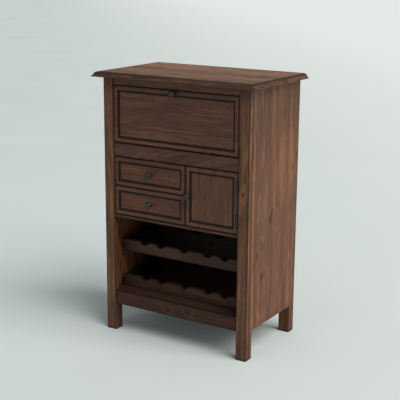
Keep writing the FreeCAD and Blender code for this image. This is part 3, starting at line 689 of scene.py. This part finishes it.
        smear = self.lay(blank, coords, SMEARS)
        smear = add(tree, Kind.RANGE, {0: smear, **SMEARS_SHOW})
        # Glaze at the edges, with painted shade under the top board and the dark bands on the legs
        glaze = self.edge_glaze_and_shade(blank, smear)
        if form.sunk is not None:
            groove = self.field_glaze(blank, form.sunk)
            glaze = add(tree, Kind.MATH, {0: glaze, 1: groove}, operation="MAXIMUM")
        if form.moulding is not None:
            moulded = self.moulding_glaze_and_shade(blank, form.moulding)
            glaze = add(tree, Kind.MATH, {0: glaze, 1: moulded}, operation="MAXIMUM")
        colour = add(tree, Kind.MIX, {0: glaze, FIRST: colour, SECOND: srgb(self.glaze)})
        # Painted shade on an inner face, darker towards the cabinet's back
        if form.inner_shade_factor < 1.0:
            inner_shaded = self.inner_shade_mask(blank)
            inner_shade_tint = (form.inner_shade_factor, form.inner_shade_factor, form.inner_shade_factor, 1.0)
            colour = add(tree, Kind.MIX, {0: inner_shaded, FIRST: colour, SECOND: inner_shade_tint}, blend_type="MULTIPLY")

        rough = add(tree, Kind.RANGE, {0: streaks, **LACQUER_SPREAD, LOW: self.roughness - SMOOTHER,
                                       HIGH: self.roughness + ROUGHER})
        dull = add(tree, Kind.MATH, {0: glaze, 1: GLAZE_ROUGHNESS}, operation="MULTIPLY")
        rough = add(tree, Kind.MATH, {0: rough, 1: dull}, operation="MAXIMUM")
        height = add(tree, Kind.MATH, {0: pores, 1: PORE_DEPTH, 2: streaks}, operation="MULTIPLY_ADD")
        bump = add(tree, Kind.BUMP, {"Height": height, **RELIEF})
        shader = add(tree, Kind.PRINCIPLED, {"Base Color": colour, "Roughness": rough, "Normal": bump,
                                             "Specular IOR Level": self.sheen})
        add(tree, Kind.OUTPUT, {"Surface": shader})
        return material


@dataclass(frozen=True)
class HardFinish:
    """The finely mottled surface of dark metal or moulded plastic.

    Attributes:
        name: the material's name.
        body: its colour.
        worn: the colour of the mottling's crests, where it is rubbed.
        mottle: the size of the mottling in millimetres.
        detail: how many finer layers the mottling has, and how strong they are.
        wear: where in the mottling the worn colour starts to show and shows in full.
        roughness: how rough the hollows and the crests are.
        relief: the depth of the mottling in millimetres, and how strongly it shows.
        metallic: how much of the surface is metal.
    """

    name: str
    body: str
    worn: str
    mottle: float
    detail: Pair
    wear: Pair
    roughness: Pair
    relief: Pair
    metallic: float

    def material(self) -> Material:
        """Makes the finish.

        Returns:
            The material.
        """
        material, tree, coords = make_material(self.name)
        mottle = add(tree, Kind.NOISE, {"Vector": coords, "Scale": 1 / (self.mottle * MM), "Detail": self.detail[0],
                                        "Roughness": self.detail[1]})
        worn = add(tree, Kind.RANGE, {0: mottle, START: self.wear[0], END: self.wear[1]})
        colour = add(tree, Kind.MIX, {0: worn, FIRST: srgb(self.body), SECOND: srgb(self.worn)})
        rough = add(tree, Kind.RANGE, {0: mottle, **SPREAD, LOW: self.roughness[0], HIGH: self.roughness[1]})
        bump = add(tree, Kind.BUMP, {"Height": mottle, "Distance": self.relief[0] * MM, "Strength": self.relief[1]})
        shader = add(tree, Kind.PRINCIPLED, {"Base Color": colour, "Roughness": rough, "Normal": bump,
                                             "Metallic": self.metallic})
        add(tree, Kind.OUTPUT, {"Surface": shader})
        return material


@dataclass(frozen=True)
class MattePaper:
    """Matte paper that pales along one direction, as painted light.

    Attributes:
        name: the material's name.
        near: the two tones of its clouds where it is darkest.
        far: its tone where it is palest.
        cloud: the size of its clouds in millimetres.
        sweep: the direction in which it pales.
        reach: where it starts to pale and where it is palest, in metres along that direction.
        roughness: how rough it is.
        sheen: how strongly it reflects.
    """

    name: str
    near: tuple[str, str]
    far: str
    cloud: float = 833.333
    sweep: Triple = (0.75, 0.66, 0.0)
    reach: Pair = (-1.2, 6.0)
    roughness: float = 0.9
    sheen: float = 0.1

    def material(self) -> Material:
        """Makes the finish.

        Returns:
            The material.
        """
        material, tree, coords = make_material(self.name)
        cloud = add(tree, Kind.NOISE, {"Vector": coords, "Scale": 1 / (self.cloud * MM), "Detail": 2.0})
        cloud = add(tree, Kind.RANGE, {0: cloud, **WIDE_SPREAD})
        dark, pale = self.near
        tone = add(tree, Kind.MIX, {0: cloud, FIRST: srgb(dark), SECOND: srgb(pale)})
        # Painted light: the paper pales towards the back and the right
        along = add(tree, Kind.VECTOR, {0: coords, 1: self.sweep}, operation="DOT_PRODUCT")
        start, end = self.reach
        paler = add(tree, Kind.RANGE, {0: along, START: start, END: end})
        tone = add(tree, Kind.MIX, {0: paler, FIRST: tone, SECOND: srgb(self.far)})
        shader = add(tree, Kind.PRINCIPLED, {"Base Color": tone, "Roughness": self.roughness,
                                             "Specular IOR Level": self.sheen})
        add(tree, Kind.OUTPUT, {"Surface": shader})
        return material


# Planed acacia, stained brown and glazed by hand: the eye sees long dark streaks and near-black lines at every edge,
# with painted shade under the top
FRAME_WOOD = StainedWood("stained_acacia_frame", heart="5e3b28", sap="744b34", streak="332117", patch="50372b",
                         light="8e6140")
# Broad flat-sawn staves of it: long soft patches, dark flecks and wavy pale lines of sapwood, with painted shade
# reaching far down under the top
SIDE_WOOD = StainedWood("stained_acacia_side", heart="653e29", sap="764a31", streak="352117", patch="50372a",
                        light="946741", stave_share=0.36, streak_share=0.5,
                        patches=replace(PATCHES, size=(30.0, 380.0)), patch_share=0.52,
                        flecks=replace(FLECKS, size=(17.0, 84.0)), fleck_share=0.9, fleck_start=0.63,
                        line_share=0.55, edge_width=4.0, under_top_shade_share=0.3, under_top_shade_reach=345.0)
# Darker and even, so that the black groove round each sunk field stands out
FRONT_WOOD = StainedWood("stained_acacia_front", heart="523327", sap="613e30", streak="2d1d16", patch="48342c",
                         light="724d39", glaze="191009", streak_share=0.4, fleck_share=0.3, sheen=0.2)
# Reddish and darker than the fronts, with narrow patches, because the rails took more stain
RAIL_WOOD = StainedWood("stained_acacia_rail", heart="482c23", sap="5b392b", streak="271913", patch="3d2b25",
                        light="6e4435", streak_share=0.7, patches=replace(PATCHES, size=(9.0, 150.0)),
                        patch_share=0.75, fleck_share=0.35)
# Dark and dull, with knots that show as black eyes in paler wood
APRON_WOOD = StainedWood("stained_acacia_apron", heart="3a2118", sap="46291d", streak="1f120c", patch="2c1c15",
                         light="4d3022", fleck_share=0.35, sheen=0.18)
# Nearly without gloss, so that the notched rails and the bottom shelf stay quiet in the shade of the bay
RACK_WOOD = StainedWood("stained_acacia_rack", heart="38241b", sap="452f24", streak="1e130e", patch="33231c",
                        light="4e372b", fleck_share=0.2, sheen=0.16)
# The palest and glossiest, with strong streaks from stave to stave, because light falls along it
TOP_WOOD = StainedWood("stained_acacia_top", heart="6c442f", sap="7e513a", streak="301e15", patch="593f2f",
                       light="a57654", stave_share=0.6, streak_share=0.85, patch_share=0.9, sheen=0.32)
# Hidden boards with stain only: dark brown and even, with little glaze at the edges; the dark brown is partly painted
# shade of the inside
INNER_WOOD = StainedWood("stained_acacia_inside", heart="2a1c15", sap="37261d", streak="1c130e", patch="261b15",
                         light="402d22", edge_share=0.5, sheen=0.15)
# Thin plies with one coat of stain: mid brown, with the seams of the veneer, seen from behind
BACK_WOOD = StainedWood("stained_plywood_back", heart="4b3425", sap="5a402d", streak="34241a", patch="433023",
                        light="6a4c36", fleck_share=0.3, edge_share=0.5, sheen=0.2)
# Darker than the inside wood, as painted shade, so that the wells of the racks are nearly black
WELL_WOOD = StainedWood("acacia_well_painted_shade", heart="1d130e", sap="271a13", streak="140d09", patch="1a120d",
                        light="2c1e16", edge_share=0.5, sheen=0.12)
# Rubberwood, sanded and left without stain: the pale, dry wood of drawer boxes
DRAWER_WOOD = StainedWood("sanded_rubberwood", heart="8f7050", sap="a78863", streak="6d5238", patch="94775a",
                          light="b4966f", glaze="4a3624", streak_share=0.35, patch_share=0.4, fleck_share=0.15,
                          edge_share=0.3, edge_width=2.0, roughness=0.58)
# Turned iron with an antique finish: dark grey, with a highlight that breaks up in the mottling
GUNMETAL = HardFinish("antique_gunmetal", body="2a2c2b", worn="5a5f5c", mottle=3.0, detail=(4.0, 0.6),
                      wear=(0.42, 0.72), roughness=(0.38, 0.2), relief=(0.15, 0.25), metallic=0.9)
# Rolled steel, chemically blackened: duller than the knobs, grey where it rubs
HINGE_STEEL = replace(GUNMETAL, name="blackened_steel", body="2a2b2b", worn="4c504f", mottle=2.0,
                      roughness=(0.48, 0.3))
# ABS from a grained mould: nearly black and dull
CATCH_PLASTIC = HardFinish("moulded_abs", body="171513", worn="2c2825", mottle=0.8, detail=(2.0, 0.5),
                           wear=(0.2, 0.8), roughness=(0.5, 0.68), relief=(0.08, 0.2), metallic=0.0)
# A sheet of studio paper: pale and cool, with painted light that makes it paler towards the back and the right, so
# that the floor has no far edge
STUDIO_PAPER = MattePaper("pale_studio_paper", near=("c8d2d2", "ccd6d6"), far="e8f0f0")


def dress(node: str, material: Material) -> None:
    """Gives a carried-over node its finish.

    Args:
        node: the node's name.
        material: the finish.
    """
    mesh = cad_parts[node].data
    mesh.materials.clear()
    mesh.materials.append(material)
    log.info("dressed %s with %s", node, material.name)


def make_piece(name: str, shape: BMesh, material: Material,
               smooth: bool = False) -> bpy.types.Object:
    """Turns a shape into an object with a finish.

    Args:
        name: the object's name.
        shape: its mesh, in the cabinet's frame.
        material: its finish.
        smooth: whether its faces are shaded smooth.

    Returns:
        The new object.
    """
    mesh = bpy.data.meshes.new(name)
    bmesh.ops.recalc_face_normals(shape, faces=shape.faces)
    for face in shape.faces:
        face.smooth = smooth
    shape.to_mesh(mesh)
    shape.free()
    mesh.materials.append(material)
    piece = bpy.data.objects.new(name, mesh)
    bpy.context.scene.collection.objects.link(piece)
    log.info("made %s with %s", name, material.name)
    return piece


@dataclass
class WoodenParts:
    """A sub-assembly of boards that keep their CAD shape.

    Attributes:
        finish: the wood that they are made of.
        boards: how the board of each node is made.
        first_shift: where the pattern of the first board starts.
    """

    finish: StainedWood
    boards: dict[str, Board]
    first_shift: float = 0.0

    def build(self) -> None:
        """Dresses every board with its own piece of wood."""
        for count, (node, form) in enumerate(self.boards.items()):
            low, high = (Vector(corner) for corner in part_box(node))
            dress(node, self.finish.board(node, low, high, self.first_shift + count * BOARD_SHIFT, form))


@dataclass
class Knobs:
    """Turned mushroom knobs, one for each front.

    Attributes:
        holders: each knob's node with the body that it moves with.
        steps: how many faces go round.
        weld: how close two points are made one, in millimetres.
        profile_shares: the turned outline, as shares of the radius and of the projection.
    """

    holders: dict[str, str]
    steps: int = 48
    weld: float = 0.002
    profile_shares: tuple[Pair, ...] = (
        (0.58, 0.0), (0.58, 0.07), (0.54, 0.1), (0.47, 0.13), (0.43, 0.22), (0.425, 0.34), (0.46, 0.46),
        (0.57, 0.555), (0.75, 0.62), (0.93, 0.655), (0.99, 0.685), (1.0, 0.72), (0.985, 0.765), (0.93, 0.81),
        (0.82, 0.875), (0.66, 0.93), (0.46, 0.97), (0.23, 0.992), (0.0, 1.0),
    )

    def turn(self, node: str) -> BMesh:
        """Turns one knob in the place of its node.

        Args:
            node: the knob's node.

        Returns:
            The turned shape.
        """
        low, high = (Vector(corner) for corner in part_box(node))
        centre = Vector(((low.x + high.x) / 2, high.y, (low.z + high.z) / 2))
        radius, reach = (high.z - low.z) / 2, high.y - low.y
        shape = bmesh.new()
        rim = [shape.verts.new(centre + Vector((radius * across, -reach * out, 0.0)))
               for across, out in self.profile_shares]
        edges = [shape.edges.new(pair) for pair in zip(rim, rim[1:])]
        bmesh.ops.spin(shape, geom=rim + edges, cent=centre, axis=(0, 1, 0), angle=2 * math.pi, steps=self.steps,
                       use_merge=True)
        bmesh.ops.remove_doubles(shape, verts=shape.verts, dist=self.weld * MM)
        bmesh.ops.holes_fill(shape, edges=[edge for edge in shape.edges if edge.is_boundary])
        return shape

    def build(self, material: Material) -> None:
        """Turns and dresses every knob.

        Args:
            material: the knobs' finish.
        """
        for node, body in self.holders.items():
            piece = make_piece(f"turned_{node}", self.turn(node), material, smooth=True)
            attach(piece, body)
            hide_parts(node)
            dress(node, material)


@dataclass
class BackScrews:
    """Countersunk screws that hold the back panel to the carcass, in millimetres.

    Attributes:
        panel: the back panel's node.
        radius: a head's radius.
        crown_share: its radius at its outer end, as a share of that.
        thickness: a head's thickness.
        sunk: how much of it is let into the panel.
        sides: how many faces go round it.
        inset: how far the rows lie from the panel's edges.
        across: how many stand in each row across.
        upright: how many stand in each upright row.
    """

    panel: str = "back_panel"
    radius: float = 3.4
    crown_share: float = 0.8
    thickness: float = 1.0
    sunk: float = 0.75
    sides: int = 20
    inset: float = 9.0
    across: int = 4
    upright: int = 6

    def places(self) -> list[Pair]:
        """Finds the screws' places.

        Returns:
            Each screw's place across and up, in metres.
        """
        low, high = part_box(self.panel)
        left, right = low[0] + self.inset * MM, high[0] - self.inset * MM
        foot, head = low[2] + self.inset * MM, high[2] - self.inset * MM
        columns = [left + (right - left) * step / (self.across - 1) for step in range(self.across)]
        rows = [foot + (head - foot) * step / (self.upright - 1) for step in range(self.upright)]
        rim = [(column, row) for column in (left, right) for row in rows]
        return rim + [(column, row) for row in (foot, head) for column in columns[1:-1]]

    def build(self, material: Material) -> None:
        """Drives in all the screws as one piece.

        Args:
            material: their finish.
        """
        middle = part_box(self.panel)[1][1] + (self.thickness / 2 - self.sunk) * MM
        outwards = Matrix.Rotation(math.pi / 2, 4, "X")
        shape = bmesh.new()
        for across, up in self.places():
            bmesh.ops.create_cone(shape, cap_ends=True, segments=self.sides,
                                  radius1=self.radius * self.crown_share * MM, radius2=self.radius * MM,
                                  depth=self.thickness * MM,
                                  matrix=Matrix.Translation((across, middle, up)) @ outwards)
        piece = make_piece("back_screws", shape, material)
        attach(piece, "carcass")


@dataclass(frozen=True)
class Lamp:
    """One soft light.

    Attributes:
        name: the light's name.
        kind: AREA for a square soft box, SUN for an even light.
        place: where it hangs, in metres.
        size: a soft box's side in metres, or an even light's spread in radians.
        power: its power in watts, or an even light's strength.
        colour: its colour.
    """

    name: str
    kind: str
    place: Triple
    size: float
    power: float
    colour: str

    def hang(self, aim: Triple) -> None:
        """Hangs the light.

        Args:
            aim: the place that it points at, in metres.
        """
        data = bpy.data.lights.new(self.name, self.kind)
        if self.kind == "SUN":
            data.angle = self.size
        else:
            data.shape = "SQUARE"
            data.size = self.size
        data.energy = self.power
        data.color = srgb(self.colour)[:3]
        lamp = bpy.data.objects.new(self.name, data)
        lamp.location = self.place
        lamp.rotation_euler = (Vector(aim) - Vector(self.place)).to_track_quat("-Z", "Y").to_euler()
        bpy.context.scene.collection.objects.link(lamp)


@dataclass
class Studio:
    """A pale floor, soft lights and the camera.

    Attributes:
        floor_size: the side of the floor in metres.
        aim: the middle of the cabinet in metres, which the lights point at.
        lamps: the lights.
        glow: the colour and the strength of the sky's light.
        wall: the colour and the strength of the sky that the camera sees.
        eye: the camera's place in metres.
        yaw: how far the camera is turned from +Y, in radians.
        pitch: how far the camera looks down, in radians.
        roll: how far the camera is tilted to its left, in radians.
        focal_px: the camera's focal length in pixels of the frame.
        frame_px: the frame's width in pixels.
        sensor_mm: the camera's sensor width in millimetres.
    """

    floor_size: float = 400.0
    aim: Triple = (0.0, 0.0, 0.6)
    lamps: tuple[Lamp, ...] = (
        Lamp("even_key", "SUN", (2.9, -0.6, 4.0), size=0.8, power=2.7, colour="fff8f2"),
        Lamp("front_box", "AREA", (-0.6, -4.0, 2.0), size=1.4, power=11.0, colour="f6f9ff"),
        Lamp("right_box", "AREA", (4.4, 0.6, 2.2), size=2.0, power=30.0, colour="fff8f2"),
    )
    glow: tuple[str, float] = ("eef6f5", 0.39)
    wall: tuple[str, float] = ("d9e1df", 1.0)
    eye: Triple = (1.9912, -3.1703, 1.5029)
    yaw: float = 0.5594
    pitch: float = 0.2479
    roll: float = 0.0068
    focal_px: float = 962.15
    frame_px: float = 400.0
    sensor_mm: float = 36.0

    def lay_floor(self) -> None:
        """Lays the floor, which isn't part of the cabinet."""
        shape = bmesh.new()
        bmesh.ops.create_grid(shape, x_segments=1, y_segments=1, size=self.floor_size / 2)
        make_piece("studio_floor", shape, STUDIO_PAPER.material())

    def light(self) -> None:
        """Sets the sky and hangs the soft lights."""
        bpy.context.scene.view_settings.view_transform = "Standard"
        world = bpy.data.worlds.new("studio_sky")
        world.use_nodes = True
        tree = world.node_tree
        tree.nodes.clear()
        seen = add(tree, Kind.LIGHT_PATH, {}).outputs["Is Camera Ray"]
        glow, wall = (add(tree, Kind.BACKGROUND, {"Color": srgb(colour), "Strength": strength})
                      for colour, strength in (self.glow, self.wall))
        sky = add(tree, Kind.MIX_SHADER, {0: seen, 1: glow, 2: wall})
        add(tree, Kind.WORLD_OUTPUT, {"Surface": sky})
        bpy.context.scene.world = world
        for lamp in self.lamps:
            lamp.hang(self.aim)

    def set_camera(self) -> None:
        """Sets the camera at the photograph's viewing angle."""
        data = bpy.data.cameras.new("studio_camera")
        data.sensor_fit = "HORIZONTAL"
        data.sensor_width = self.sensor_mm
        data.lens = self.focal_px / self.frame_px * self.sensor_mm
        camera = bpy.data.objects.new("studio_camera", data)
        camera.location = self.eye
        level = math.cos(self.pitch)
        look = Vector((-math.sin(self.yaw) * level, math.cos(self.yaw) * level, -math.sin(self.pitch)))
        tilt = Quaternion((0.0, 0.0, 1.0), self.roll)
        camera.rotation_euler = (look.to_track_quat("-Z", "Y") @ tilt).to_euler()
        bpy.context.scene.collection.objects.link(camera)
        bpy.context.scene.camera = camera

    def build(self) -> None:
        """Sets up the whole studio."""
        self.lay_floor()
        self.light()
        self.set_camera()


def wooden_assemblies() -> list[WoodenParts]:
    """Lists the cabinet's wooden sub-assemblies.

    Returns:
        The sub-assemblies, each with its finish and how its boards are made.
    """
    across, deep, upright = Board(Axis.ACROSS), Board(Axis.DEEP), Board(Axis.UPRIGHT)
    deck_staves, side_staves = Staves(Axis.DEEP, width=96.0), Staves(Axis.DEEP, width=84.0)
    wide_deck = Board(Axis.ACROSS, deck_staves)
    # The sides' inner faces get painted shade towards the back
    outer_side = Board(Axis.UPRIGHT, side_staves, inner_shade_factor=0.25)
    stile_knot = Knot((306.0, -182.0, 655.0), radius=5.0, length=17.0, tilt=1.5)
    apron_knots = (Knot((-30.0, -178.5, 139.0), radius=8.0, length=18.0, tilt=-0.6),
                   Knot((62.0, -178.5, 147.0), radius=8.0, length=24.0, tilt=-0.9))
    drawer_front = Board(Axis.ACROSS, sunk=SunkField())
    drawer_boxes = {
        f"{name}_drawer_{part}": form
        for name in ("upper", "lower")
        for part, form in (("left_side", deep), ("right_side", deep), ("back", across), ("bottom", across))
    }
    rack_frames = {
        f"{name}_rack_{part}_rail": form
        for name in ("upper", "lower")
        for part, form in (("back", across), ("left", deep), ("right", deep))
    }
    leg_blocks = {f"{hand}_{end}_leg_block": upright for end in ("front", "back") for hand in ("left", "right")}
    return [
        WoodenParts(TOP_WOOD, {
            "top_board": Board(Axis.ACROSS, Staves(Axis.DEEP, width=74.0), moulding=Moulding()),
        }, first_shift=1.3),
        WoodenParts(SIDE_WOOD, {"left_side": outer_side, "right_side": outer_side}, first_shift=4.2),
        WoodenParts(FRAME_WOOD, {
            "left_stile": upright, "right_stile": Board(Axis.UPRIGHT, knots=(stile_knot,)), "top_rail": across,
            **leg_blocks,
        }, first_shift=7.9),
        WoodenParts(RAIL_WOOD, {
            "middle_rail": Board(Axis.ACROSS, tilt=0.28), "lower_deck": wide_deck, "upper_deck": wide_deck,
            "partition": Board(Axis.UPRIGHT, side_staves),
        }, first_shift=21.5),
        WoodenParts(APRON_WOOD, {"apron": Board(Axis.ACROSS, knots=apron_knots)}, first_shift=27.3),
        WoodenParts(FRONT_WOOD, {
            "flap_panel": Board(Axis.ACROSS, Staves(Axis.UPRIGHT, width=78.0), sunk=SunkField()),
            "upper_drawer_front": drawer_front, "lower_drawer_front": drawer_front,
            "door_panel": Board(Axis.UPRIGHT, Staves(Axis.ACROSS, width=62.0), sunk=SunkField()),
        }, first_shift=33.1),
        WoodenParts(RACK_WOOD, {
            "upper_rack_front_rail": across, "lower_rack_front_rail": across, "bottom_shelf": wide_deck,
        }, first_shift=52.6),
        WoodenParts(WELL_WOOD, rack_frames, first_shift=61.2),
        WoodenParts(INNER_WOOD, {"back_rail": across, "rack_cleats": deep, "stay_blocks": upright}, first_shift=71.4),
        WoodenParts(BACK_WOOD, {
            # Its inner face is darkened all over by painted shade
            "back_panel": Board(Axis.UPRIGHT, Staves(Axis.ACROSS, width=110.0), inner_shade_factor=0.2),
        }, first_shift=88.3),
        WoodenParts(DRAWER_WOOD, {**drawer_boxes, "left_runners": deep, "right_runners": deep}, first_shift=93.8),
    ]


def main() -> None:
    """Builds the cabinet's looks and the studio round it."""
    logging.basicConfig(level=logging.INFO, format="%(name)s: %(message)s")
    for assembly in wooden_assemblies():
        assembly.build()
    steel = HINGE_STEEL.material()
    Knobs({
        "flap_knob": "flap", "door_knob": "door", "upper_drawer_knob": "upper_drawer",
        "lower_drawer_knob": "lower_drawer",
    }).build(GUNMETAL.material())
    for node in ("door_hinge_leaves", "stile_hinge_leaves", "hinge_pins", "flap_pivot_pins", "stay_brackets",
                 "left_stay_arm", "right_stay_arm", "left_stay_guide", "right_stay_guide", "flap_strike",
                 "door_strike"):
        dress(node, steel)
    plastic = CATCH_PLASTIC.material()
    for node in ("flap_catch", "door_catch"):
        dress(node, plastic)
    BackScrews().build(steel)
    Studio().build()


if __name__ == "__main__":
    main()
